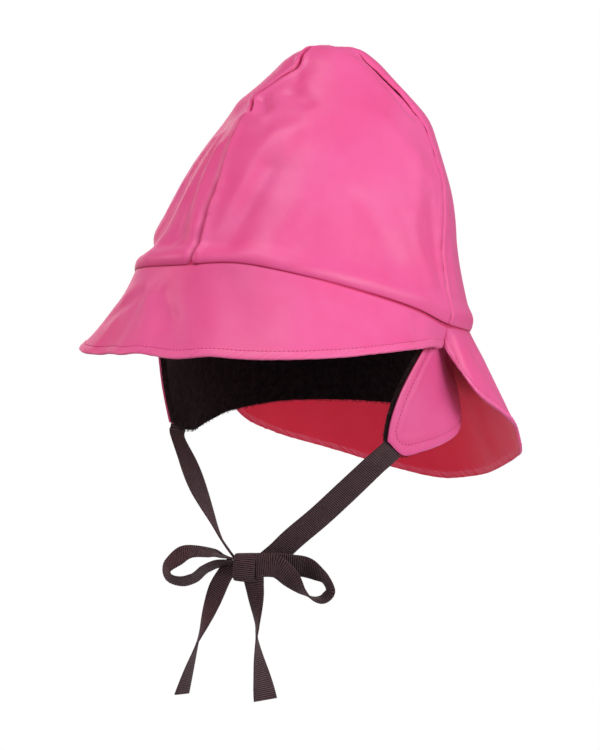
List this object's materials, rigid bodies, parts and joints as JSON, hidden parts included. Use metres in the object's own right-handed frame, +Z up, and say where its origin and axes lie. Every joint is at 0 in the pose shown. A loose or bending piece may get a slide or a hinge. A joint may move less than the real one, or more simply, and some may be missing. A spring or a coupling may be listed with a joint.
{
  "type": "rain hat",
  "caption": "Child's rain hat of coated cloth: a tall panelled crown, a brim long over the neck, fleece-lined ear flaps and ribbon ties in a bow under the chin.",
  "frame": {"origin": "the middle of the head opening, level with the seam above the ears, at the mount head_seat", "axes": "+Z up to the top of the crown, -Y to the front, +X to the wearer's left"},
  "size_m": [0.1863, 0.2301, 0.3225],
  "materials": {
    "coated_cloth": "soft sheen",
    "fleece": "napped",
    "ribbon": "ribbed"
  },
  "bodies": {
    "root": {"crown_front_left": "coated_cloth", "crown_front_right": "coated_cloth", "crown_back_left": "coated_cloth", "crown_back_right": "coated_cloth", "brim_front": "coated_cloth", "brim_back": "coated_cloth", "flap_shell": "coated_cloth", "crown_lining": "fleece", "flap_lining": "fleece", "tie_left": "ribbon", "tie_right": "ribbon", "bow_knot": "ribbon", "bow_loop_left": "ribbon", "bow_loop_right": "ribbon", "bow_tail_left": "ribbon", "bow_tail_right": "ribbon"}
  },
  "joints": []
}
